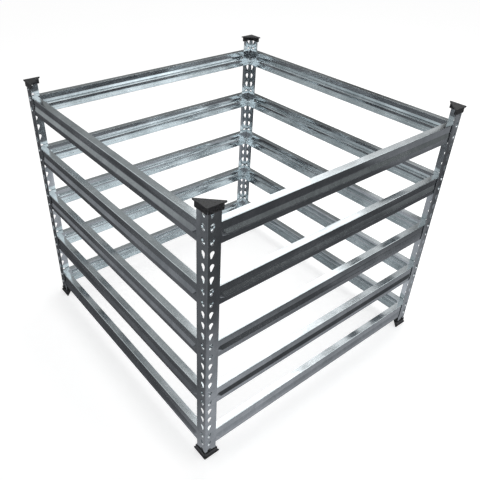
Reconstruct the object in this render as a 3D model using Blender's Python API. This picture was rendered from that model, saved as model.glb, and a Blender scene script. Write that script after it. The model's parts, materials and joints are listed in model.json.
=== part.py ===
# Metal compost bin, one metre square: four slotted angle posts of galvanised sheet, five tiers of
# channel beams whose rivets hook into the slots, and a plastic cap and foot on every post.
# Metres, +Z up. The origin is on the ground under the middle of the bin.

import math

import bmesh
import bpy
from mathutils import Vector

# Overall sizes
SIDE = 1.000  # over the flat outer faces of the posts, the same both ways
POST_LENGTH = 0.900
TIERS = 5
CLEARANCE = 0.0003  # between pieces that touch

# Post: an angle rolled from sheet, with a crease along each flange and an edge that flares out
POST_SHEET = 0.0015
POST_FLANGE = 0.040
POST_BEND = 0.004
CREASE_FROM_CORNER = 0.027
EDGE_FLARE = 0.001

# Rivets of the beams
RIVET_FROM_CORNER = 0.0138
SHANK_RADIUS = 0.003
HEAD_RADIUS = 0.0045
HEAD_CROWN_RADIUS = 0.0028
HEAD_RISE = 0.0022
RIVET_SIDES = 8

# Keyhole slots: a wide mouth that lets the rivet's head in, tapering to a throat that grips the
# shank. The seat is where the shank stops in the taper, and the origin of the slot's outline.
SLOT_PITCH = 0.0375
SEAT_DROP = 0.0055  # from the middle of a pitch down to the seat
LIFT = 0.0098  # from the seat up to the middle of the mouth
MOUTH_LEAN = 0.0018  # the mouth sits this much nearer to the flange's edge than the seat
THROAT_RADIUS = 0.00245
MOUTH_FLATS = 5
THROAT_FLATS = 2

# Tiers, counted in slots
FIRST_SLOT = 1  # the slot of the top tier's upper rivets, where 0 is the top slot
FREE_SLOTS_BELOW = 1

# Beam: a channel that opens into the bin, with its flange ends mitred in the corners
BEAM_SHEET = 0.0012
WEB_HEIGHT = 0.062
BEAM_FLANGE = 0.022
BEAM_BEND = 0.0025
BEAM_END = 0.006  # from the outer corner of the bin to the end of the web
MITRE_GAP = 0.001

# Bead: a stiffening ridge pressed outwards along the middle of the web, with a long slope above
# its crest and a short one below. Heights are from the middle of the web.
BEAD_DEPTH = 0.005
BEAD_TOP = 0.007
BEAD_CREST_TOP = -0.0062
BEAD_CREST_BOTTOM = -0.0082
BEAD_BOTTOM = -0.0107
BEAD_END_SLOPE = 0.012
BEAD_FROM_POST = 0.002

# Caps and feet: one moulding, the other way up at the top
PLATE = 0.004
PLATE_OVERHANG = 0.005
TIP_FROM_FLANGE = 0.012
TIP_ROUNDING = 0.002
COLLAR_HEIGHT = 0.020  # with the plate
COLLAR_OUTSIDE = 0.003
COLLAR_END = 0.0055
COLLAR_INSIDE_WALL = 0.002

# What follows from the sizes above
half_side = SIDE / 2
web_face = POST_SHEET + CLEARANCE
post_foot = PLATE + CLEARANCE
post_top = post_foot + POST_LENGTH
slot_count = int(POST_LENGTH / SLOT_PITCH + 1e-6)
slots_per_tier = (slot_count - FIRST_SLOT - 2 - FREE_SLOTS_BELOW) // (TIERS - 1)
mouth_radius = HEAD_RADIUS + MOUTH_LEAN + CLEARANCE
past = 0.002  # how far a cutter runs past the sheet

corner_names = ["front_left", "front_right", "back_right", "back_left"]
side_names = ["front", "right", "back", "left"]


def seat_height(slot):
    return post_top - (slot + 0.5) * SLOT_PITCH - SEAT_DROP


# Scene and materials

def clear_scene():
    for item in list(bpy.data.objects):
        bpy.data.objects.remove(item)


def make_material(name, colour, metallic, roughness):
    material = bpy.data.materials.new(name)
    material.use_nodes = True
    shader = material.node_tree.nodes["Principled BSDF"]
    shader.inputs["Base Color"].default_value = (*colour, 1)
    shader.inputs["Metallic"].default_value = metallic
    shader.inputs["Roughness"].default_value = roughness
    return material


def place(name, mesh, material, parent, location, quarter_turns):
    item = bpy.data.objects.new(name, mesh)
    bpy.context.scene.collection.objects.link(item)
    if not mesh.materials:
        mesh.materials.append(material)
    item.parent = parent
    item.location = location
    item.rotation_euler.z = quarter_turns * math.pi / 2
    return item


def place_empty(name, height):
    empty = bpy.data.objects.new(name, None)
    bpy.context.scene.collection.objects.link(empty)
    empty.location.z = height
    return empty


# Outlines

def arc(centre, radius, start, sweep, steps):
    points = []
    for step in range(steps + 1):
        angle = math.radians(start + sweep * step / steps)
        points.append(Vector(centre) + radius * Vector((math.cos(angle), math.sin(angle))))
    return points


def offset_path(path, distance):
    """The path moved sideways to its left, with its corners mitred."""
    moved = []
    for index, point in enumerate(path):
        before = path[max(index - 1, 0)]
        after = path[min(index + 1, len(path) - 1)]
        normals = []
        for start, end in ((before, point), (point, after)):
            if start != end:
                along = (end - start).normalized()
                normals.append(Vector((-along.y, along.x)))
        first = normals[0]
        last = normals[-1]
        moved.append(point + distance * (first + last) / (1 + first.dot(last)))
    return moved


def sheet_outline(path, thickness):
    """A closed outline of bent sheet: the path is its outer face, the sheet lies to its left."""
    return path + offset_path(path, thickness)[::-1]


def rounded_rectangle(length, height, radius, steps):
    points = []
    for turn, (x, y) in enumerate(((1, 1), (-1, 1), (-1, -1), (1, -1))):
        centre = (x * (length / 2 - radius), y * (height / 2 - radius))
        points += arc(centre, radius, 90 * turn, 90, steps)
    return points


def keyhole_outline():
    """Flats that touch the mouth and throat circles, round the seat at (0, 0)."""
    seat_radius = SHANK_RADIUS + CLEARANCE
    mouth = Vector((MOUTH_LEAN, LIFT))
    throat = -mouth * (seat_radius - THROAT_RADIUS) / (mouth_radius - seat_radius)
    axis = mouth - throat
    upward = math.atan2(axis.y, axis.x)
    half_mouth = math.acos((THROAT_RADIUS - mouth_radius) / axis.length)
    arcs = (
        (mouth, mouth_radius, upward - half_mouth, 2 * half_mouth, MOUTH_FLATS),
        (throat, THROAT_RADIUS, upward + half_mouth, 2 * (math.pi - half_mouth), THROAT_FLATS),
    )
    points = []
    for centre, radius, start, sweep, flats in arcs:
        reach = radius / math.cos(sweep / flats / 2)
        for flat in range(flats):
            angle = start + (flat + 0.5) * sweep / flats
            points.append(centre + reach * Vector((math.cos(angle), math.sin(angle))))
    return points


# Solids

def add_rings(bm, rings):
    """A closed solid through rings of points, capped at both ends."""
    loops = [[bm.verts.new(point) for point in ring] for ring in rings]
    count = len(loops[0])
    for lower, upper in zip(loops, loops[1:]):
        for index in range(count):
            after = (index + 1) % count
            bm.faces.new((lower[index], lower[after], upper[after], upper[index]))
    bm.faces.new(loops[0][::-1])
    bm.faces.new(loops[-1])


def finish_mesh(bm, name, smooth_angle=30):
    bmesh.ops.recalc_face_normals(bm, faces=bm.faces)
    mesh = bpy.data.meshes.new(name)
    bm.to_mesh(mesh)
    bm.free()
    mesh.shade_smooth()
    mesh.set_sharp_from_angle(angle=math.radians(smooth_angle))
    return mesh


def combine(mesh, tool_mesh, operation):
    """The mesh after an exact Boolean with the tool."""
    base = bpy.data.objects.new("base", mesh)
    tool = bpy.data.objects.new("tool", tool_mesh)
    for item in (base, tool):
        bpy.context.scene.collection.objects.link(item)
    modifier = base.modifiers.new("combine", "BOOLEAN")
    modifier.operation = operation
    modifier.solver = "EXACT"
    modifier.object = tool
    evaluated = base.evaluated_get(bpy.context.evaluated_depsgraph_get())
    result = bpy.data.meshes.new_from_object(evaluated)
    result.name = mesh.name
    for item in (base, tool):
        bpy.data.objects.remove(item)
    bpy.data.meshes.remove(mesh)
    bpy.data.meshes.remove(tool_mesh)
    return result


def prism(outline, bottom, top, name):
    bm = bmesh.new()
    add_rings(bm, [[(point.x, point.y, z) for point in outline] for z in (bottom, top)])
    return finish_mesh(bm, name)


# Post

def angle_path(edge_flare):
    """The outer face of the angle, from the edge of one flange round the corner to the other."""
    bend = arc((POST_BEND, POST_BEND), POST_BEND, 180, 90, 3)
    first = [Vector((-edge_flare, POST_FLANGE)), Vector((0, CREASE_FROM_CORNER))]
    last = [Vector((CREASE_FROM_CORNER, 0)), Vector((POST_FLANGE, -edge_flare))]
    return first + bend + last


def slot_cutters():
    """Every keyhole of one post, through both of its flanges."""
    bm = bmesh.new()
    outline = keyhole_outline()
    for slot in range(slot_count):
        height = seat_height(slot) - post_foot
        for swap in (False, True):
            rings = []
            for depth in (-past, POST_SHEET + past):
                ring = []
                for point in outline:
                    across = RIVET_FROM_CORNER + point.x
                    place_xy = (depth, across) if swap else (across, depth)
                    ring.append((*place_xy, height + point.y))
                rings.append(ring)
            add_rings(bm, rings)
    return finish_mesh(bm, "slots")


def make_post():
    outline = sheet_outline(angle_path(EDGE_FLARE), POST_SHEET)
    post = prism(outline, 0, POST_LENGTH, "post")
    return combine(post, slot_cutters(), "DIFFERENCE")


# Beam, along X round its own middle: the web's outer face is at y = 0 and the bin is towards +Y

def beam_channel():
    half_length = half_side - BEAM_END
    half_height = WEB_HEIGHT / 2
    path = [Vector((BEAM_FLANGE, half_height))]
    path += arc((BEAM_BEND, half_height - BEAM_BEND), BEAM_BEND, 90, 90, 1)
    path += arc((BEAM_BEND, BEAM_BEND - half_height), BEAM_BEND, 180, 90, 1)
    path.append(Vector((BEAM_FLANGE, -half_height)))
    outline = sheet_outline(path, BEAM_SHEET)
    bm = bmesh.new()
    add_rings(bm, [[(x, point.x, point.y) for point in outline] for x in (-half_length, half_length)])
    bmesh.ops.recalc_face_normals(bm, faces=bm.faces)
    for end in (-1, 1):
        mitre = Vector((end * half_side, -web_face, 0))
        away = Vector((end, 1, 0)).normalized()
        bmesh.ops.bisect_plane(
            bm,
            geom=bm.verts[:] + bm.edges[:] + bm.faces[:],
            plane_co=mitre - away * MITRE_GAP / 2,
            plane_no=away,
            clear_outer=True,
        )
        bmesh.ops.holes_fill(bm, edges=bm.edges)
    return finish_mesh(bm, "beam")


def bead_solid(inwards, start):
    """The ridge that the web's face follows, that far inside its outer face, from y = start."""
    half_length = half_side - POST_FLANGE - BEAD_FROM_POST
    profiles = []
    for outer, crest in (
        (BEAD_TOP, BEAD_CREST_TOP),
        (-BEAD_BOTTOM, -BEAD_CREST_BOTTOM),
        (half_length, half_length - BEAD_END_SLOPE),
    ):
        path = [
            Vector((outer + BEAD_DEPTH, 0)),
            Vector((outer, 0)),
            Vector((crest, -BEAD_DEPTH)),
            Vector((crest - BEAD_DEPTH, -BEAD_DEPTH)),
        ]
        foot, above = offset_path(path, -inwards)[1:-1]
        below = foot + (foot - above) * (start - foot.y) / (foot.y - above.y)
        profiles.append((below, above))
    bm = bmesh.new()
    rings = []
    for up, down, along in zip(*profiles):
        width = up.x + down.x
        middle = (up.x - down.x) / 2
        outline = rounded_rectangle(2 * along.x, width, width * 0.4, 1)
        rings.append([(point.x, up.y, middle + point.y) for point in outline])
    add_rings(bm, rings)
    return finish_mesh(bm, "bead")


def rivets_of_beam():
    bm = bmesh.new()
    head_seat = -web_face - CLEARANCE
    rings = (
        (BEAM_SHEET / 2, SHANK_RADIUS),
        (head_seat, SHANK_RADIUS),
        (head_seat, HEAD_RADIUS),
        (head_seat - HEAD_RISE, HEAD_CROWN_RADIUS),
    )
    for end in (-1, 1):
        for row in (-1, 1):
            x = end * (half_side - RIVET_FROM_CORNER)
            z = row * SLOT_PITCH / 2
            loops = []
            for y, radius in rings:
                outline = arc((x, z), radius, 0, 360, RIVET_SIDES)[:-1]
                loops.append([(point.x, y, point.y) for point in outline])
            add_rings(bm, loops)
    return finish_mesh(bm, "rivets")


def make_beam():
    beam = beam_channel()
    beam = combine(beam, bead_solid(0, BEAM_SHEET / 2), "UNION")
    beam = combine(beam, bead_solid(BEAM_SHEET, BEAM_SHEET + past), "DIFFERENCE")
    return combine(beam, rivets_of_beam(), "UNION")


# Cap and foot, with the post's outer corner at (0, 0) and its end at z = 0

def plate_outline():
    """A right-angled triangle with rounded corners, its long side towards the bin."""
    centre = TIP_ROUNDING - PLATE_OVERHANG
    tip_centre = POST_FLANGE + TIP_FROM_FLANGE - TIP_ROUNDING
    points = arc((centre, centre), TIP_ROUNDING, 180, 90, 2)
    points += arc((tip_centre, centre), TIP_ROUNDING, 270, 135, 2)
    points += arc((centre, tip_centre), TIP_ROUNDING, 45, 135, 2)
    return points


def make_foot():
    plate_top = -CLEARANCE
    collar_top = COLLAR_HEIGHT - PLATE - CLEARANCE
    foot = prism(plate_outline(), plate_top - PLATE, plate_top, "foot")

    outer = COLLAR_OUTSIDE
    end = POST_FLANGE + COLLAR_END
    inner = web_face + COLLAR_INSIDE_WALL
    collar = [Vector((-outer, end)), *arc((POST_BEND, POST_BEND), POST_BEND + outer, 180, 90, 2)]
    collar += [Vector((end, -outer)), Vector((end, inner)), Vector((inner, inner)), Vector((inner, end))]
    foot = combine(foot, prism(collar, plate_top - PLATE / 2, collar_top, "collar"), "UNION")

    low = -EDGE_FLARE - CLEARANCE
    high = web_face
    stop = POST_FLANGE + CLEARANCE
    socket = [Vector((low, stop)), Vector((low, low)), Vector((stop, low)), Vector((stop, high))]
    socket += [*arc((POST_BEND, POST_BEND), POST_BEND - high, 270, -90, 1), Vector((high, stop))]
    return combine(foot, prism(socket, plate_top, collar_top + past, "socket"), "DIFFERENCE")


def upside_down(mesh):
    """The same moulding the other way up, with its two legs swapped back into place."""
    bm = bmesh.new()
    bm.from_mesh(mesh)
    for vert in bm.verts:
        vert.co = Vector((vert.co.y, vert.co.x, -vert.co.z))
    return finish_mesh(bm, "cap")


# The bin

def build():
    clear_scene()
    steel = make_material("galvanised_steel", (0.56, 0.58, 0.61), 1.0, 0.28)
    plastic = make_material("black_plastic", (0.012, 0.012, 0.013), 0.0, 0.55)

    bin_empty = place_empty("compost_bin", 0)
    post = make_post()
    foot = make_foot()
    cap = upside_down(foot)
    for turns, corner in enumerate(corner_names):
        x = half_side if turns in (1, 2) else -half_side
        y = half_side if turns in (2, 3) else -half_side
        place("post_" + corner, post, steel, bin_empty, (x, y, post_foot), turns)
        place("foot_" + corner, foot, plastic, bin_empty, (x, y, post_foot), turns)
        place("cap_" + corner, cap, plastic, bin_empty, (x, y, post_top), turns)

    beam = make_beam()
    from_middle = half_side - web_face
    middles = [(0, -from_middle, 0), (from_middle, 0, 0), (0, from_middle, 0), (-from_middle, 0, 0)]
    for tier in range(TIERS):
        upper_slot = FIRST_SLOT + tier * slots_per_tier
        height = (seat_height(upper_slot) + seat_height(upper_slot + 1)) / 2
        tier_empty = place_empty("tier_" + str(tier + 1), height)
        tier_empty.parent = bin_empty
        for turns, side in enumerate(side_names):
            name = "beam_" + side + "_" + str(tier + 1)
            place(name, beam, steel, tier_empty, middles[turns], turns)


build()
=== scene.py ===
import json
import math

import bmesh
import bpy
from mathutils import Matrix, Vector

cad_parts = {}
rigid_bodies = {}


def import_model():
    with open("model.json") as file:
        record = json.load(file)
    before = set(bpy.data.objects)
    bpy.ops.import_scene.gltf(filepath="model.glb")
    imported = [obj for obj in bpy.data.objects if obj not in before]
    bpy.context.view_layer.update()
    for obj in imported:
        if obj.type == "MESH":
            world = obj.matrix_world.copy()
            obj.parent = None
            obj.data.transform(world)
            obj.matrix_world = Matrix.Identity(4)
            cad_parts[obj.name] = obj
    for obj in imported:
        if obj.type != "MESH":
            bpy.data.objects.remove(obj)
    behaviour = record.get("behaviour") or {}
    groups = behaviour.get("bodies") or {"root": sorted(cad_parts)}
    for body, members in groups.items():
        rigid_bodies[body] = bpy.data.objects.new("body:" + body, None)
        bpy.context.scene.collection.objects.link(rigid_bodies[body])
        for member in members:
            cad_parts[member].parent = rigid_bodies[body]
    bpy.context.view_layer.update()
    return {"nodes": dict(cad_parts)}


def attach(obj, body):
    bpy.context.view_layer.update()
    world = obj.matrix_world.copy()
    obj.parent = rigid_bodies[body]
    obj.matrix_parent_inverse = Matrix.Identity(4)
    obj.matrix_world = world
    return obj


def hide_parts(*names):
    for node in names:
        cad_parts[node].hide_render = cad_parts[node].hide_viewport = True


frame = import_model()
print("frame loaded, parts:", len(frame["nodes"]))

mm = 0.001
quarter = math.radians(90)
tolerance = 0.02 * mm  # for finding points by their place

# The bin: four posts at the corners of a square, hooks for the beams every pitch
binShape = {
    "side": 1000 * mm,
    "postBottom": 4.3 * mm,  # a foot's plate and the gap over it
    "postLength": 900 * mm,
    "pitch": 37.5 * mm,
    "seatAboveCell": 13.25 * mm,  # from the bottom of a pitch up to where a rivet rests
    "rivetFromCorner": 13.8 * mm,
    "webInset": 1.8 * mm,  # from the outer face of a post to that of a web
    "topWeb": 823.8 * mm,  # height of the middle of the highest beams' webs
    "tiers": 5,
    "pitchesPerTier": 5,
}
corners = ("front_left", "front_right", "back_right", "back_left")
sides = ("front", "right", "back", "left")


# Working in edit mode

def deselect():
    for item in bpy.context.view_layer.objects:
        item.select_set(False)


def activate(item):
    deselect()
    item.select_set(True)
    bpy.context.view_layer.objects.active = item


def edit(item):
    activate(item)
    bpy.ops.object.mode_set(mode="EDIT")
    bpy.ops.mesh.select_all(action="DESELECT")


def pick(kind, test):
    # selects what the test accepts: it is given the middle of each element, and the element
    bpy.ops.mesh.select_mode(type=kind)
    bpy.ops.mesh.select_all(action="DESELECT")
    mesh = bpy.context.edit_object.data
    bm = bmesh.from_edit_mesh(mesh)
    if kind == "VERT":
        for vert in bm.verts:
            vert.select_set(test(vert.co, vert))
    elif kind == "EDGE":
        for edge in bm.edges:
            edge.select_set(test((edge.verts[0].co + edge.verts[1].co) / 2, edge))
    else:
        for face in bm.faces:
            face.select_set(test(face.calc_center_median(), face))
    bm.select_flush_mode()
    bmesh.update_edit_mesh(mesh)


def leaveEdit(smooth=35):
    bpy.ops.object.mode_set(mode="OBJECT")
    bpy.ops.object.shade_smooth_by_angle(angle=math.radians(smooth))


def applyModifier(item, kind, **settings):
    activate(item)
    modifier = item.modifiers.new(kind.lower(), kind)
    for name, value in settings.items():
        setattr(modifier, name, value)
    bpy.ops.object.modifier_apply(modifier=modifier.name)


def cutWith(item, tool, operation="DIFFERENCE"):
    applyModifier(item, "BOOLEAN", operation=operation, solver="EXACT", object=tool)
    bpy.data.objects.remove(tool)


def near(value, target):
    return abs(value - target) < tolerance


def startEdit(name):
    # the primitive just added becomes the new piece, with its place in its mesh
    item = bpy.context.object
    item.name = name
    bpy.ops.object.transform_apply(location=True, rotation=True, scale=True)
    edit(item)
    return item


def faceOutwards(direction):
    # for an open shell: all its faces agree with the largest one, which looks that way
    bpy.ops.mesh.select_all(action="SELECT")
    bpy.ops.mesh.remove_doubles(threshold=0.01 * mm)
    bpy.ops.mesh.normals_make_consistent(inside=False)
    bm = bmesh.from_edit_mesh(bpy.context.edit_object.data)
    largest = max(bm.faces, key=lambda face: face.calc_area())
    largest.normal_update()
    if largest.normal.dot(Vector(direction)) < 0:
        bpy.ops.mesh.flip_normals()


def sheetUv(item, along):
    # lays the sheet out flat in metres: u along its length, v across it
    mesh = item.data
    layer = mesh.uv_layers.new(name="sheet")
    across = [axis for axis in range(3) if axis != along]
    for loop in mesh.loops:
        place = mesh.vertices[loop.vertex_index].co
        layer.data[loop.index].uv = (place[along], place[across[1]] - place[across[0]])


# Beam: rolled channel with a pressed bead, mitred into the corners

beamShape = {
    "end": 6 * mm,  # from the outer corner of the bin to the end of the web
    "height": 62 * mm,
    "flange": 22 * mm,
    "sheet": 1.2 * mm,
    "bend": 2.5 * mm,
    "bendSteps": 4,
    "mitreGap": 1 * mm,
    "beadHalfLength": 458 * mm,
    "beadFoot": (7 * mm, -10.7 * mm),  # its upper and lower line, from the middle of the web
    "beadMargin": 3 * mm,  # flat ring round the foot of the bead
    "beadEndSides": 24,
    "beadRings": (  # upper and lower line and how far out: a long slope above, a short one below
        (-4.6 * mm, -8.9 * mm, 4.4 * mm),
        (-6.6 * mm, -8.1 * mm, 5 * mm),
    ),
    "beadEndSlope": 4 * mm,  # how much longer the slope is at the ends
    "footRounding": 1.2 * mm,
    "crestRounding": 0.4 * mm,
    "rim": 0.25 * mm,
}


def onBead(edge, outwards):
    # the foot or the crest lines of the bead, not the short ones between them
    level = abs(edge.verts[0].co.y - edge.verts[1].co.y) < tolerance / 2
    atCrest = edge.verts[0].co.y < -0.1 * mm
    if not level or atCrest != outwards or len(edge.link_faces) != 2:
        return False
    return edge.calc_face_angle() > math.radians(5)


def modelBeam():
    shape = beamShape
    half = binShape["side"] / 2
    flat = shape["height"] / 2 - shape["bend"]
    margin = shape["beadMargin"]
    step = math.tau / shape["beadEndSides"]
    top, bottom = shape["beadFoot"]
    middle = (top + bottom) / 2
    radius = (top - bottom) / 2 + margin
    deselect()
    bpy.ops.mesh.primitive_circle_add(
        vertices=shape["beadEndSides"],
        radius=radius / math.cos(step / 2),
        fill_type="NGON",
        location=(0, 0, middle),
        rotation=(quarter, step / 2, 0),
    )
    beam = startEdit("beam")
    for end in (-1, 1):
        pick("VERT", lambda place, vert: place.x * end > 0)
        bpy.ops.transform.translate(value=(end * (shape["beadHalfLength"] + margin - radius), 0, 0))

    # the bead: a flat ring, then insets that rise and move down to their height
    out = 0
    for nextTop, nextBottom, nextOut in ((top, bottom, 0), *shape["beadRings"]):
        nextRadius = (nextTop - nextBottom) / 2
        nextMiddle = (nextTop + nextBottom) / 2
        pick("FACE", lambda place, face: len(face.verts) > 8)
        bpy.ops.mesh.inset(thickness=radius - nextRadius, depth=nextOut - out)
        bpy.ops.transform.translate(value=(0, 0, nextMiddle - middle))
        radius = nextRadius
        middle = nextMiddle
        out = nextOut
    for end in (-1, 1):
        pick("VERT", lambda place, vert: place.y < -1 * mm and place.x * end > 0)
        bpy.ops.transform.translate(value=(-end * shape["beadEndSlope"], 0, 0))
    pick("EDGE", lambda place, edge: onBead(edge, False))
    bpy.ops.mesh.bevel(offset=shape["footRounding"], segments=3)
    pick("EDGE", lambda place, edge: onBead(edge, True))
    bpy.ops.mesh.bevel(offset=shape["crestRounding"], segments=2)

    # the flat web round it
    bpy.ops.mesh.primitive_plane_add(size=1, rotation=(quarter, 0, 0))
    bpy.ops.transform.resize(value=(2 * (half - shape["end"]), 1, 2 * flat))
    bpy.ops.mesh.delete(type="ONLY_FACE")
    pick("EDGE", lambda middle, edge: len(edge.link_faces) < 2)
    bpy.ops.mesh.fill()

    # the flanges: a bend, then the flat
    for up in (-1, 1):
        pick("EDGE", lambda middle, edge: near(middle.z, up * flat) and len(edge.link_faces) < 2)
        bpy.ops.mesh.spin(
            steps=shape["bendSteps"],
            angle=up * quarter,
            center=(0, shape["bend"], up * flat),
            axis=(1, 0, 0),
        )
        pick("EDGE", lambda middle, edge: near(middle.z, up * shape["height"] / 2))
        out = shape["flange"] - shape["bend"]
        bpy.ops.mesh.extrude_edges_move(TRANSFORM_OT_translate={"value": (0, out, 0)})
    faceOutwards((0, -1, 0))
    leaveEdit()
    applyModifier(beam, "SOLIDIFY", thickness=shape["sheet"], offset=-1, use_even_offset=True)

    edit(beam)
    for end in (-1, 1):
        bpy.ops.mesh.select_all(action="SELECT")
        away = Vector((end, 1, 0)).normalized()
        corner = Vector((end * half, -binShape["webInset"], 0))
        bpy.ops.mesh.bisect(
            plane_co=corner - away * shape["mitreGap"] / 2,
            plane_no=away,
            use_fill=True,
            clear_outer=True,
        )
    leaveEdit()
    applyModifier(beam, "BEVEL", width=shape["rim"], segments=2, angle_limit=math.radians(60))
    applyModifier(beam, "WEIGHTED_NORMAL", keep_sharp=True)
    sheetUv(beam, 0)
    return beam


# Rivet: set in the web, its head stands outside the post's sheet

rivetShape = {
    "sides": 20,
    "innerRadius": 3.9 * mm,
    "innerRise": 1.1 * mm,
    "shankRadius": 3 * mm,
    "headGap": 0.3 * mm,  # from the post's face to the head
    "headRadius": 4.5 * mm,
    "headSide": 0.6 * mm,
    "headRise": 2.2 * mm,
    "crownRadius": 2.4 * mm,
    "headRounding": 0.9 * mm,
    "innerRounding": 0.7 * mm,
}


def onRing(edge, depth):
    # the edge lies round the rivet at that depth
    return all(near(vert.co.y, depth) for vert in edge.verts)


def modelRivet():
    shape = rivetShape
    deselect()
    bpy.ops.mesh.primitive_cylinder_add(
        vertices=shape["sides"],
        radius=shape["innerRadius"],
        depth=shape["innerRise"],
        location=(0, beamShape["sheet"] + shape["innerRise"] / 2, 0),
        rotation=(quarter, 0, 0),
    )
    rivet = startEdit("rivet")
    seat = binShape["webInset"] + shape["headGap"]
    rim = -seat - shape["headSide"]
    crown = -seat - shape["headRise"]
    web = beamShape["sheet"]
    steps = (  # radius and depth of each ring towards the outside, after the inner head's edge
        (shape["shankRadius"], web),
        (shape["shankRadius"], -seat),
        (shape["headRadius"], -seat),
        (shape["headRadius"], rim),
        (shape["crownRadius"], crown),
    )
    pick("FACE", lambda middle, face: face.normal.y < -0.9)
    radius = shape["innerRadius"]
    depth = web
    for nextRadius, nextDepth in steps:
        bpy.ops.mesh.extrude_region_move(TRANSFORM_OT_translate={"value": (0, nextDepth - depth, 0)})
        ratio = nextRadius / radius
        bpy.ops.transform.resize(value=(ratio, 1, ratio))
        radius = nextRadius
        depth = nextDepth
    pick("EDGE", lambda middle, edge: onRing(edge, rim) or onRing(edge, crown))
    bpy.ops.mesh.bevel(offset=shape["headRounding"], segments=3)
    pick("EDGE", lambda middle, edge: onRing(edge, web + shape["innerRise"]))
    bpy.ops.mesh.bevel(offset=shape["innerRounding"], segments=3)
    bpy.ops.mesh.select_all(action="SELECT")
    bpy.ops.mesh.remove_doubles(threshold=0.005 * mm)
    bpy.ops.mesh.normals_make_consistent(inside=False)
    leaveEdit(smooth=50)
    sheetUv(rivet, 0)
    return rivet


# Post: an angle rolled from sheet, one pitch modelled and repeated

postShape = {
    "flange": 40 * mm,
    "sheet": 1.5 * mm,
    "bend": 4 * mm,
    "bendSteps": 6,
    "crease": 27 * mm,
    "flare": 1 * mm,
    "rim": 0.25 * mm,
    "mouthRadius": 6.6 * mm,
    "mouthPlace": (1.8 * mm, 9.8 * mm),  # from the seat: towards the edge, up
    "throatRadius": 2.45 * mm,
    "throatPlace": (-0.463 * mm, -2.52 * mm),
    "cutterDepth": 8 * mm,  # half of it on either side of the sheet's face
}


def keyholeCutter(onLeft):
    # the hull of two discs through the sheet, on the front flange or on the left one
    shape = postShape
    deselect()
    discs = []
    for radius, (out, up), sides in (
        (shape["mouthRadius"], shape["mouthPlace"], 28),
        (shape["throatRadius"], shape["throatPlace"], 16),
    ):
        across = binShape["rivetFromCorner"] + out
        height = binShape["seatAboveCell"] + up
        bpy.ops.mesh.primitive_cylinder_add(
            vertices=sides,
            radius=radius,
            depth=shape["cutterDepth"],
            location=(0, across, height) if onLeft else (across, 0, height),
            rotation=(0, quarter, 0) if onLeft else (quarter, 0, 0),
        )
        discs.append(bpy.context.object)
    for disc in discs:
        disc.select_set(True)
    bpy.ops.object.join()
    bpy.ops.object.transform_apply(location=True, rotation=True, scale=True)
    cutter = bpy.context.object
    edit(cutter)
    bpy.ops.mesh.select_all(action="SELECT")
    bpy.ops.mesh.convex_hull()
    bpy.ops.object.mode_set(mode="OBJECT")
    return cutter


def modelPost():
    shape = postShape
    pitch = binShape["pitch"]
    flat = shape["crease"] - shape["bend"]
    edge = shape["flange"] - shape["crease"]
    deselect()
    bpy.ops.mesh.primitive_plane_add(
        size=1,
        location=(shape["bend"] + flat / 2, 0, pitch / 2),
        rotation=(quarter, 0, 0),
    )
    post = startEdit("post")
    bpy.ops.mesh.select_all(action="SELECT")
    bpy.ops.transform.resize(value=(flat, 1, pitch))
    pick("EDGE", lambda middle, line: near(middle.x, shape["crease"]))
    bpy.ops.mesh.extrude_edges_move(TRANSFORM_OT_translate={"value": (edge, -shape["flare"], 0)})
    pick("EDGE", lambda middle, line: near(middle.x, shape["bend"]))
    bpy.ops.mesh.spin(
        steps=shape["bendSteps"],
        angle=quarter,
        center=(shape["bend"], shape["bend"], 0),
        axis=(0, 0, 1),
    )

    def leftEnd(middle, line):
        return line.is_boundary and near(middle.z, pitch / 2) and middle.x < shape["bend"] / 2

    for across, along in ((0, flat), (-shape["flare"], edge)):
        pick("EDGE", leftEnd)
        bpy.ops.mesh.extrude_edges_move(TRANSFORM_OT_translate={"value": (across, along, 0)})
    faceOutwards((-1, -1, 0))
    leaveEdit()
    applyModifier(post, "SOLIDIFY", thickness=shape["sheet"], offset=-1, use_even_offset=True)
    for onLeft in (False, True):
        cutWith(post, keyholeCutter(onLeft))

    edit(post)
    ends = (0, pitch)

    def rimEdge(middle, line):
        atEnd = any(near(line.verts[0].co.z, z) and near(line.verts[1].co.z, z) for z in ends)
        return not atEnd and len(line.link_faces) == 2 and line.calc_face_angle() > math.radians(60)

    pick("EDGE", rimEdge)
    bpy.ops.mesh.bevel(offset=shape["rim"], segments=2)
    pick("FACE", lambda middle, face: abs(face.normal.z) > 0.99 and any(near(middle.z, z) for z in ends))
    bpy.ops.mesh.delete(type="FACE")  # open ends, so that the pitches merge
    leaveEdit()
    applyModifier(
        post,
        "ARRAY",
        count=round(binShape["postLength"] / pitch),
        use_relative_offset=False,
        use_constant_offset=True,
        constant_offset_displace=(0, 0, pitch),
        use_merge_vertices=True,
        merge_threshold=0.01 * mm,
    )
    edit(post)
    bpy.ops.mesh.select_all(action="SELECT")
    bpy.ops.mesh.fill_holes(sides=0)
    leaveEdit()
    applyModifier(post, "WEIGHTED_NORMAL", keep_sharp=True)
    sheetUv(post, 2)
    return post


# Foot: one moulding, also used upside down as the cap

footShape = {
    "plate": 4 * mm,
    "overhang": 5 * mm,
    "reach": 49.83 * mm,  # where the long side is: x + y, from the post's outer corner
    "cornerRounding": 2 * mm,
    "tipRounding": 5.6 * mm,
    "collarOutside": 3 * mm,
    "collarEnd": 45.5 * mm,
    "collarInside": 3.8 * mm,
    "collarHeight": 16 * mm,
    "cornerRadius": 7 * mm,
    "socket": (-1.3 * mm, 1.8 * mm, 40.3 * mm),  # the slot for the post: outside, inside and end
    "seatGap": 0.3 * mm,  # from the plate to the end of the post
    "edge": 0.5 * mm,
}


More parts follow.
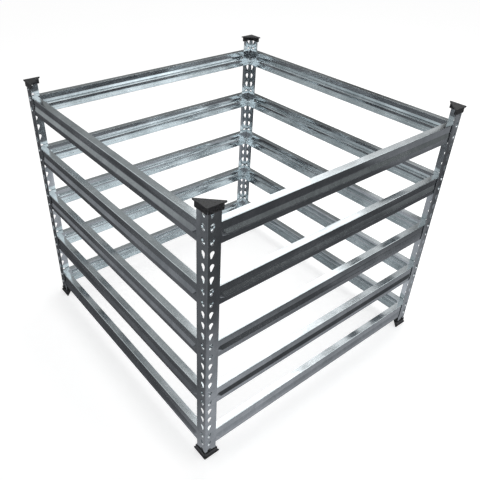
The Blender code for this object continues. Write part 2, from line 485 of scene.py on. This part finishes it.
def cuboid(name, low, high):
    deselect()
    middle = [(a + b) / 2 for a, b in zip(low, high)]
    size = [b - a for a, b in zip(low, high)]
    bpy.ops.mesh.primitive_cube_add(size=1, location=middle, scale=size)
    item = bpy.context.object
    item.name = name
    bpy.ops.object.transform_apply(location=True, rotation=True, scale=True)
    return item


def angleSolid(name, low, inner, end, bottom, top, rounding):
    # a corner block with a wall extruded from it on either side, the outside of the corner rounded
    item = cuboid(name, (low, low, bottom), (inner, inner, top))
    edit(item)
    pick("FACE", lambda middle, face: face.normal.x > 0.9)
    bpy.ops.mesh.extrude_region_move(TRANSFORM_OT_translate={"value": (end - inner, 0, 0)})
    pick("FACE", lambda middle, face: face.normal.y > 0.9 and middle.x < inner)
    bpy.ops.mesh.extrude_region_move(TRANSFORM_OT_translate={"value": (0, end - inner, 0)})

    def outerCorner(middle, edge):
        return all(near(vert.co.x, low) and near(vert.co.y, low) for vert in edge.verts)

    if rounding:
        pick("EDGE", outerCorner)
        bpy.ops.mesh.bevel(offset=rounding, segments=6)
    bpy.ops.object.mode_set(mode="OBJECT")
    return item


def upright(edge):
    return abs(edge.verts[0].co.z - edge.verts[1].co.z) > 1 * mm


def modelFoot():
    shape = footShape
    out = shape["overhang"]
    far = shape["reach"] + out
    halfway = shape["reach"] / 2
    foot = cuboid("foot", (-out, -out, -shape["plate"]), (far, far, 0))
    edit(foot)
    bpy.ops.mesh.select_all(action="SELECT")
    bpy.ops.mesh.bisect(
        plane_co=(halfway, halfway, 0),
        plane_no=(1, 1, 0),
        use_fill=True,
        clear_outer=True,
    )
    for atTip, rounding in ((False, shape["cornerRounding"]), (True, shape["tipRounding"])):
        pick("EDGE", lambda middle, edge: upright(edge) and (middle.x + middle.y > halfway) == atTip)
        bpy.ops.mesh.bevel(offset=rounding, segments=5)
    bpy.ops.object.mode_set(mode="OBJECT")
    collar = angleSolid(
        "collar",
        -shape["collarOutside"],
        shape["collarInside"],
        shape["collarEnd"],
        -shape["plate"] / 2,
        shape["collarHeight"],
        shape["cornerRadius"],
    )
    cutWith(foot, collar, "UNION")
    past = shape["collarHeight"] + 2 * mm  # the socket's tool ends past the collar
    cutWith(foot, angleSolid("socket", *shape["socket"], 0, past, 0))
    activate(foot)
    applyModifier(foot, "BEVEL", width=shape["edge"], segments=2, angle_limit=math.radians(50))
    bpy.ops.object.shade_smooth_by_angle(angle=math.radians(35))
    applyModifier(foot, "WEIGHTED_NORMAL", keep_sharp=True)
    return foot


# Finishes

def toLinear(hexColour):
    values = []
    for index in (1, 3, 5):
        value = int(hexColour[index:index + 2], 16) / 255
        values.append(value / 12.92 if value <= 0.04045 else ((value + 0.055) / 1.055) ** 2.4)
    return (*values, 1)


def addNode(tree, kind, settings=None, inputs=None):
    # inputs take a value, or another node's output to link from
    node = tree.nodes.new(kind)
    for name, value in (settings or {}).items():
        setattr(node, name, value)
    for socket, value in (inputs or {}).items():
        if isinstance(value, bpy.types.NodeSocket):
            tree.links.new(value, node.inputs[socket])
        else:
            node.inputs[socket].default_value = value
    return node


def newMaterial(name):
    material = bpy.data.materials.new(name)
    material.use_nodes = True
    tree = material.node_tree
    return material, tree, tree.nodes["Principled BSDF"]


noiseSpread = (0.3, 0.7)  # where most of a noise's values lie

zincLook = {
    "light": "#c3c8cb",
    "dark": "#abb1b4",
    "toneSpread": (0.4, 0.8),
    "roughness": (0.11, 0.26),
    "roughSpread": (0.4, 0.75),
    "spangle": 9 * mm,
    "spangleTone": 0.15,  # how much the spangles show beside the clouds
    "spangleRough": 0.05,  # and beside the streaks
    "cloud": 90 * mm,
    "streak": (250 * mm, 31.25 * mm),  # length and width of the marks of the rolls
    "wave": (200 * mm, 100 * mm),  # waviness of the rolled sheet along its length and across
    "waveBump": 2.2 * mm,
    "grain": 1.6 * mm,  # crystals' relief, drawn coarser than real so that it shows
    "grainBump": 0.003 * mm,
}


def hotDipZinc():
    # Hot-dip galvanised sheet: blue-grey spangles, a soft mirror with cloudy patches and rolled streaks
    look = zincLook
    material, tree, shader = newMaterial("hotDipZinc")
    sheet = addNode(tree, "ShaderNodeUVMap", {"uv_map": "sheet"}).outputs[0]
    spangle = addNode(tree, "ShaderNodeTexVoronoi", {"feature": "F1"}, {
        "Vector": sheet,
        "Scale": 1 / look["spangle"],
    })
    cell = addNode(tree, "ShaderNodeSeparateColor", {}, {"Color": spangle.outputs["Color"]})
    cloud = addNode(tree, "ShaderNodeTexNoise", {}, {
        "Vector": sheet,
        "Scale": 1 / look["cloud"],
        "Detail": 3,
    })
    tone = addNode(tree, "ShaderNodeMath", {"operation": "MULTIPLY_ADD"}, {
        0: cell.outputs[0],
        1: look["spangleTone"],
        2: cloud.outputs[0],
    })
    spread = addNode(tree, "ShaderNodeMapRange", {}, {
        "Value": tone.outputs[0],
        "From Min": look["toneSpread"][0],
        "From Max": look["toneSpread"][1],
    })
    mixed = addNode(tree, "ShaderNodeMix", {"data_type": "RGBA"}, {  # 6 and 7 are its two colours
        0: spread.outputs[0],
        6: toLinear(look["dark"]),
        7: toLinear(look["light"]),
    })
    tree.links.new(mixed.outputs[2], shader.inputs["Base Color"])

    streakLength, streakWidth = look["streak"]
    streakPlace = addNode(tree, "ShaderNodeMapping", {}, {
        "Vector": sheet,
        "Scale": (1 / streakLength, 1 / streakWidth, 1),
    })
    streak = addNode(tree, "ShaderNodeTexNoise", {}, {
        "Vector": streakPlace.outputs[0],
        "Scale": 1,
        "Detail": 1,
    })
    rough = addNode(tree, "ShaderNodeMath", {"operation": "MULTIPLY_ADD"}, {
        0: cell.outputs[1],
        1: look["spangleRough"],
        2: streak.outputs[0],
    })
    roughRange = addNode(tree, "ShaderNodeMapRange", {}, {
        "Value": rough.outputs[0],
        "From Min": look["roughSpread"][0],
        "From Max": look["roughSpread"][1],
        "To Min": look["roughness"][0],
        "To Max": look["roughness"][1],
    })
    tree.links.new(roughRange.outputs[0], shader.inputs["Roughness"])
    shader.inputs["Metallic"].default_value = 1

    waveLength, waveWidth = look["wave"]
    wavePlace = addNode(tree, "ShaderNodeMapping", {}, {
        "Vector": sheet,
        "Scale": (1, waveLength / waveWidth, 1),
    })
    wave = addNode(tree, "ShaderNodeTexNoise", {}, {
        "Vector": wavePlace.outputs[0],
        "Scale": 1 / waveLength,
        "Detail": 0,
    })
    waveBump = addNode(tree, "ShaderNodeBump", {}, {
        "Height": wave.outputs[0],
        "Distance": look["waveBump"],
        "Strength": 1,
    })
    grain = addNode(tree, "ShaderNodeTexNoise", {}, {
        "Vector": sheet,
        "Scale": 1 / look["grain"],
        "Detail": 2,
    })
    grainBump = addNode(tree, "ShaderNodeBump", {}, {
        "Height": grain.outputs[0],
        "Distance": look["grainBump"],
        "Strength": 1,
        "Normal": waveBump.outputs[0],
    })
    tree.links.new(grainBump.outputs[0], shader.inputs["Normal"])
    return material


rivetLook = {
    "light": "#eceef0",
    "dark": "#d4d7da",
    "roughness": (0.28, 0.42),
    "grain": 1.2 * mm,  # pits of the plating, drawn coarser than real so that they show
    "grainBump": 0.03 * mm,
}


def platedRivet():
    # Electroplated zinc on the cold-headed rivets: whiter and duller than the sheet
    look = rivetLook
    material, tree, shader = newMaterial("platedZinc")
    sheet = addNode(tree, "ShaderNodeUVMap", {"uv_map": "sheet"}).outputs[0]
    grain = addNode(tree, "ShaderNodeTexNoise", {}, {
        "Vector": sheet,
        "Scale": 1 / look["grain"],
        "Detail": 2,
    })
    mixed = addNode(tree, "ShaderNodeMix", {"data_type": "RGBA"}, {
        0: grain.outputs[0],
        6: toLinear(look["dark"]),
        7: toLinear(look["light"]),
    })
    tree.links.new(mixed.outputs[2], shader.inputs["Base Color"])
    roughRange = addNode(tree, "ShaderNodeMapRange", {}, {
        "Value": grain.outputs[0],
        "From Min": noiseSpread[0],
        "From Max": noiseSpread[1],
        "To Min": look["roughness"][0],
        "To Max": look["roughness"][1],
    })
    tree.links.new(roughRange.outputs[0], shader.inputs["Roughness"])
    shader.inputs["Metallic"].default_value = 1
    bump = addNode(tree, "ShaderNodeBump", {}, {
        "Height": grain.outputs[0],
        "Distance": look["grainBump"],
        "Strength": 1,
    })
    tree.links.new(bump.outputs[0], shader.inputs["Normal"])
    return material


plasticLook = {
    "dark": "#050506",
    "light": "#333336",
    "peaks": (0.42, 0.62),  # the part of the grain that goes from the dark to the light colour
    "roughness": (0.22, 0.6),
    "grain": 3.2 * mm,  # coarser than real so that it shows
    "grainBump": 1.6 * mm,
    "grainStrength": 0.8,
}


def mouldedPlastic():
    # Injection-moulded polypropylene, black, with the fine spark-eroded grain of its mould
    look = plasticLook
    material, tree, shader = newMaterial("mouldedPolypropylene")
    place = addNode(tree, "ShaderNodeTexCoord").outputs["Object"]
    grain = addNode(tree, "ShaderNodeTexNoise", {}, {
        "Vector": place,
        "Scale": 1 / look["grain"],
        "Detail": 2,
    })
    peaks = addNode(tree, "ShaderNodeMapRange", {}, {
        "Value": grain.outputs[0],
        "From Min": look["peaks"][0],
        "From Max": look["peaks"][1],
    })
    mixed = addNode(tree, "ShaderNodeMix", {"data_type": "RGBA"}, {
        0: peaks.outputs[0],
        6: toLinear(look["dark"]),
        7: toLinear(look["light"]),
    })
    tree.links.new(mixed.outputs[2], shader.inputs["Base Color"])
    roughRange = addNode(tree, "ShaderNodeMapRange", {}, {
        "Value": grain.outputs[0],
        "From Min": noiseSpread[0],
        "From Max": noiseSpread[1],
        "To Min": look["roughness"][0],
        "To Max": look["roughness"][1],
    })
    tree.links.new(roughRange.outputs[0], shader.inputs["Roughness"])
    bump = addNode(tree, "ShaderNodeBump", {}, {
        "Height": grain.outputs[0],
        "Distance": look["grainBump"],
        "Strength": look["grainStrength"],
    })
    tree.links.new(bump.outputs[0], shader.inputs["Normal"])
    return material


# Placing the pieces

def cornerMatrix(turns, height):
    half = binShape["side"] / 2
    start = Matrix.Translation((-half, -half, height))
    return Matrix.Rotation(turns * quarter, 4, "Z") @ start


def sideMatrix(turns, height):
    depth = binShape["side"] / 2 - binShape["webInset"]
    return Matrix.Rotation(turns * quarter, 4, "Z") @ Matrix.Translation((0, -depth, height))


patternShift = {
    "step": (1.37, 2.73),  # metres from one piece to the next, along and across
    "wrap": (17, 13),
}


def shiftPattern(piece):
    # each piece gets its own stretch of the sheet's pattern
    count = len(bpy.data.objects)
    along, across = patternShift["step"]
    wrapAlong, wrapAcross = patternShift["wrap"]
    shift = Vector((count * along % wrapAlong, count * across % wrapAcross))
    for layer in piece.data.uv_layers:
        for loop in layer.data:
            loop.uv += shift


def placeCopy(master, name, matrix, material, body):
    piece = master.copy()
    piece.data = master.data.copy()
    piece.name = name
    piece.data.name = name
    piece.data.transform(matrix)
    shiftPattern(piece)
    piece.data.materials.clear()
    piece.data.materials.append(material)
    bpy.context.scene.collection.objects.link(piece)
    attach(piece, body)
    return piece


zinc = hotDipZinc()
plating = platedRivet()
plastic = mouldedPlastic()

postMaster = modelPost()
print("post modelled, faces:", len(postMaster.data.polygons))
beamMaster = modelBeam()
print("beam modelled, faces:", len(beamMaster.data.polygons))
rivetMaster = modelRivet()
print("rivet modelled, faces:", len(rivetMaster.data.polygons))
footMaster = modelFoot()
print("foot modelled, faces:", len(footMaster.data.polygons))

upsideDown = Matrix(((0, 1, 0, 0), (1, 0, 0, 0), (0, 0, -1, 0), (0, 0, 0, 1)))  # turns a foot into a cap
postTop = binShape["postBottom"] + binShape["postLength"]
for turns, corner in enumerate(corners):
    postPlace = cornerMatrix(turns, binShape["postBottom"])
    post = placeCopy(postMaster, "angle_post_" + corner, postPlace, zinc, "frame")
    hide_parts("post_" + corner)
    footPlace = cornerMatrix(turns, footShape["plate"])
    foot = placeCopy(footMaster, "plastic_foot_" + corner, footPlace, plastic, "frame")
    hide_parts("foot_" + corner)
    capPlace = cornerMatrix(turns, postTop + footShape["seatGap"]) @ upsideDown
    cap = placeCopy(footMaster, "plastic_cap_" + corner, capPlace, plastic, "frame")
    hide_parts("cap_" + corner)

rivetAlong = binShape["side"] / 2 - binShape["rivetFromCorner"]
for tier in range(binShape["tiers"]):
    height = binShape["topWeb"] - tier * binShape["pitchesPerTier"] * binShape["pitch"]
    for turns, side in enumerate(sides):
        label = side + "_" + str(tier + 1)
        node = "beam_" + label
        place = sideMatrix(turns, height)
        beam = placeCopy(beamMaster, "channel_" + label, place, zinc, node)
        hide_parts(node)
        for end, endLabel in ((-1, "_a"), (1, "_b")):
            for row, rowLabel in ((-1, "_low"), (1, "_high")):
                spot = Matrix.Translation((end * rivetAlong, 0, row * binShape["pitch"] / 2))
                name = "rivet_" + label + endLabel + rowLabel
                placeCopy(rivetMaster, name, place @ spot, plating, node)
for master in (postMaster, beamMaster, rivetMaster, footMaster):
    bpy.data.objects.remove(master)
print("pieces placed")


# Floor, light and camera

def seenByEye(tree):
    # 1 for camera, glossy and transmission rays, 0 for the rest
    path = addNode(tree, "ShaderNodeLightPath")
    first = addNode(tree, "ShaderNodeMath", {"operation": "MAXIMUM"}, {
        0: path.outputs["Is Camera Ray"],
        1: path.outputs["Is Glossy Ray"],
    })
    return addNode(tree, "ShaderNodeMath", {"operation": "MAXIMUM"}, {
        0: first.outputs[0],
        1: path.outputs["Is Transmission Ray"],
    }).outputs[0]


floorLook = {
    "size": 40,
    "paper": "#e6e6e6",
    "lift": 0.5,  # brings the paper up to the white of the background and keeps the shadow
}


def buildFloor():
    deselect()
    bpy.ops.mesh.primitive_plane_add(size=floorLook["size"])
    floor = bpy.context.object
    floor.name = "studioFloor"
    material, tree, shader = newMaterial("paperFloor")
    shader.inputs["Base Color"].default_value = toLinear(floorLook["paper"])
    shader.inputs["Roughness"].default_value = 1
    shader.inputs["Specular IOR Level"].default_value = 0
    lift = addNode(tree, "ShaderNodeMath", {"operation": "MULTIPLY"}, {
        0: seenByEye(tree),
        1: floorLook["lift"],
    })
    shader.inputs["Emission Color"].default_value = (1, 1, 1, 1)
    tree.links.new(lift.outputs[0], shader.inputs["Emission Strength"])
    floor.data.materials.append(material)


worldLook = {"fill": 0.6}  # its strength as light on the object


def buildWorld():
    world = bpy.data.worlds.new("studio")
    bpy.context.scene.world = world
    world.use_nodes = True
    tree = world.node_tree
    background = tree.nodes["Background"]
    background.inputs["Color"].default_value = (1, 1, 1, 1)
    strength = addNode(tree, "ShaderNodeMapRange", {}, {
        "Value": seenByEye(tree),
        "To Min": worldLook["fill"],
        "To Max": 1,
    })
    tree.links.new(strength.outputs[0], background.inputs["Strength"])


def onlyMirrored(item):
    # seen by reflections alone: out of the camera's sight, with no light or shadow on the rest
    item.visible_camera = False
    item.visible_diffuse = False
    item.visible_transmission = False
    item.visible_shadow = False
    item.visible_volume_scatter = False


# painted reflection: the dark and the glows of this sphere show only in the metal, as painted highlights
# and painted dark surroundings
paintedRoomLook = {
    "radius": 7,
    "tint": "#fbffff",
    "dark": 0.07,
    "glows": (  # heading and rise in degrees, where it starts to fade and where it ends, brightness
        (219, 21, 14, 32, 4),
        (22, 58, 12, 48, 0.45),
        (146, 42, 18, 27, 2.3),
        (312, 42, 18, 27, 1.05),
        (142, 4, 12, 30, 0.15),
        (324, 4, 10, 26, 0.42),
    ),
}


def towards(heading, rise):
    # heading in degrees from straight back towards the right
    heading = math.radians(heading)
    rise = math.radians(rise)
    return (math.cos(rise) * math.sin(heading), math.cos(rise) * math.cos(heading), math.sin(rise))


def glowMaterial(name, tint):
    material, tree, shader = newMaterial(name)
    tree.nodes.remove(shader)
    glow = addNode(tree, "ShaderNodeEmission", {}, {"Color": toLinear(tint)})
    tree.links.new(glow.outputs[0], tree.nodes["Material Output"].inputs["Surface"])
    return material, tree, glow.inputs["Strength"]


def buildPaintedRoom():
    # painted reflections: a dim sphere round the bin that only the metal sees and that lights nothing,
    # with soft glows painted where bright reflections should show
    look = paintedRoomLook
    deselect()
    bpy.ops.mesh.primitive_uv_sphere_add(segments=48, ring_count=24, radius=look["radius"])
    room = bpy.context.object
    room.name = "paintedReflectionRoom"
    material, tree, strength = glowMaterial("paintedRoomGlow", look["tint"])
    place = addNode(tree, "ShaderNodeTexCoord").outputs["Object"]
    unit = addNode(tree, "ShaderNodeVectorMath", {"operation": "NORMALIZE"}, {0: place}).outputs[0]
    total = addNode(tree, "ShaderNodeValue").outputs[0]
    total.default_value = look["dark"]
    for heading, rise, fade, edge, bright in look["glows"]:
        facing = addNode(tree, "ShaderNodeVectorMath", {"operation": "DOT_PRODUCT"}, {
            0: unit,
            1: towards(heading, rise),
        })
        level = addNode(tree, "ShaderNodeMapRange", {"interpolation_type": "SMOOTHSTEP"}, {
            "Value": facing.outputs["Value"],
            "From Min": math.cos(math.radians(edge)),
            "From Max": math.cos(math.radians(fade)),
            "To Max": bright,
        })
        total = addNode(tree, "ShaderNodeMath", {"operation": "ADD"}, {
            0: total,
            1: level.outputs[0],
        }).outputs[0]
    tree.links.new(total, strength)
    room.data.materials.append(material)
    onlyMirrored(room)


# painted reflection: the dark and light patches of this sheet show only in the metal, as a painted
# darker floor under the white paper
paintedGroundLook = {
    "size": 16,
    "height": 1.5 * mm,  # just over the floor, so that the metal meets it first
    "tint": "#f4f5fb",
    "dark": 0.1,
    "patches": (  # x from and to, y from and to, half the width of the soft edge, brightness
        (-0.5, 0.5, -0.5, 0.5, 0.02, 0.5),
        (-0.6, 3, -0.75, -0.4, 0.3, 0.45),
        (-0.8, -0.12, -1, -0.4, 0.15, 0.14),
        (0.6, 3.5, -0.5, 3.5, 0.1, 0.38),
        (-3.5, -0.52, -3.5, -0.52, 0.12, 0.12),
        (-1.6, -0.7, -0.5, 0.7, 0.15, 0.09),
        (-8, -1.45, 0.2, 8, 0.15, 0.27),
        (1.6, 5, -2.6, -1.3, 0.15, 0.22),
    ),
}


def buildPaintedGround():
    # painted reflection: a sheet over the floor that only the metal sees and that lights nothing, darker
    # than the paper, lighter close to the front
    look = paintedGroundLook
    deselect()
    bpy.ops.mesh.primitive_plane_add(size=look["size"], location=(0, 0, look["height"]))
    ground = bpy.context.object
    ground.name = "paintedGroundReflection"
    bpy.ops.object.transform_apply(location=True, rotation=True, scale=True)
    material, tree, strength = glowMaterial("paintedGroundReflection", look["tint"])
    place = addNode(tree, "ShaderNodeTexCoord").outputs["Object"]
    axes = addNode(tree, "ShaderNodeSeparateXYZ", {}, {0: place})
    total = addNode(tree, "ShaderNodeValue").outputs[0]
    total.default_value = look["dark"]
    for left, right, front, back, soft, bright in look["patches"]:
        share = None
        for axis, edge, sign in (("X", left, 1), ("X", right, -1), ("Y", front, 1), ("Y", back, -1)):
            side = addNode(tree, "ShaderNodeMapRange", {"interpolation_type": "SMOOTHSTEP"}, {
                "Value": axes.outputs[axis],
                "From Min": edge - sign * soft,
                "From Max": edge + sign * soft,
            }).outputs[0]
            if share is None:
                share = side
            else:
                share = addNode(tree, "ShaderNodeMath", {"operation": "MULTIPLY"}, {
                    0: share,
                    1: side,
                }).outputs[0]
        total = addNode(tree, "ShaderNodeMath", {"operation": "MULTIPLY_ADD"}, {
            0: share,
            1: bright,
            2: total,
        }).outputs[0]
    tree.links.new(total, strength)
    ground.data.materials.append(material)
    onlyMirrored(ground)


lamps = {  # place, width, length, heading in degrees, radiance; all look straight down
    "mainBox": ((1.18, 0.73, 2.1), 1.25, 1.6, 38.8, 2.1),
    "overheadBox": ((-0.15, 0.2, 2.1), 0.9, 1.0, 0, 0.8),
    "innerBox": ((0.95, -0.25, 2.1), 1.3, 0.4, 0, 2),
    "leftBox": ((-0.45, -1.0, 2.1), 1.5, 1.2, 0, 0.45),
    "frontRightBox": ((1.75, -0.8, 2.1), 1.3, 1.3, 0, 0.95),
    "farBox": ((2.38, 0.8, 2.1), 0.55, 1.9, 62.4, 0.75),
}


def buildLamps():
    for name, (place, width, length, heading, radiance) in lamps.items():
        data = bpy.data.lights.new(name, "AREA")
        data.shape = "RECTANGLE"
        data.size = width
        data.size_y = length
        data.energy = radiance * math.pi * width * length
        lamp = bpy.data.objects.new(name, data)
        lamp.location = place
        lamp.rotation_euler = (0, 0, -math.radians(heading))
        lamp.visible_camera = False
        bpy.context.scene.collection.objects.link(lamp)


cameraShot = {
    "place": (-1.1037, -1.2827, 1.5198),
    "heading": 38.842,  # degrees from straight back towards the right
    "tilt": -34.367,
    "roll": 1.239,
    "lens": 40.71,
    "sensor": 36,
    "shift": (0.0487, -0.0161),
}


def buildCamera():
    shot = cameraShot
    heading = math.radians(shot["heading"])
    roll = math.radians(shot["roll"])
    forward = Vector(towards(shot["heading"], shot["tilt"]))
    right = Vector((math.cos(heading), -math.sin(heading), 0))
    up = right.cross(forward)
    across = right * math.cos(roll) + up * math.sin(roll)
    upward = up * math.cos(roll) - right * math.sin(roll)
    turn = Matrix((across, upward, -forward)).transposed().to_4x4()
    data = bpy.data.cameras.new("photoCamera")
    data.lens = shot["lens"]
    data.sensor_width = shot["sensor"]
    data.shift_x, data.shift_y = shot["shift"]
    camera = bpy.data.objects.new("photoCamera", data)
    camera.matrix_world = Matrix.Translation(shot["place"]) @ turn
    bpy.context.scene.collection.objects.link(camera)
    bpy.context.scene.camera = camera


buildFloor()
buildWorld()
buildPaintedRoom()
buildPaintedGround()
buildLamps()
buildCamera()
bpy.context.scene.view_settings.view_transform = "Standard"
print("stage set")
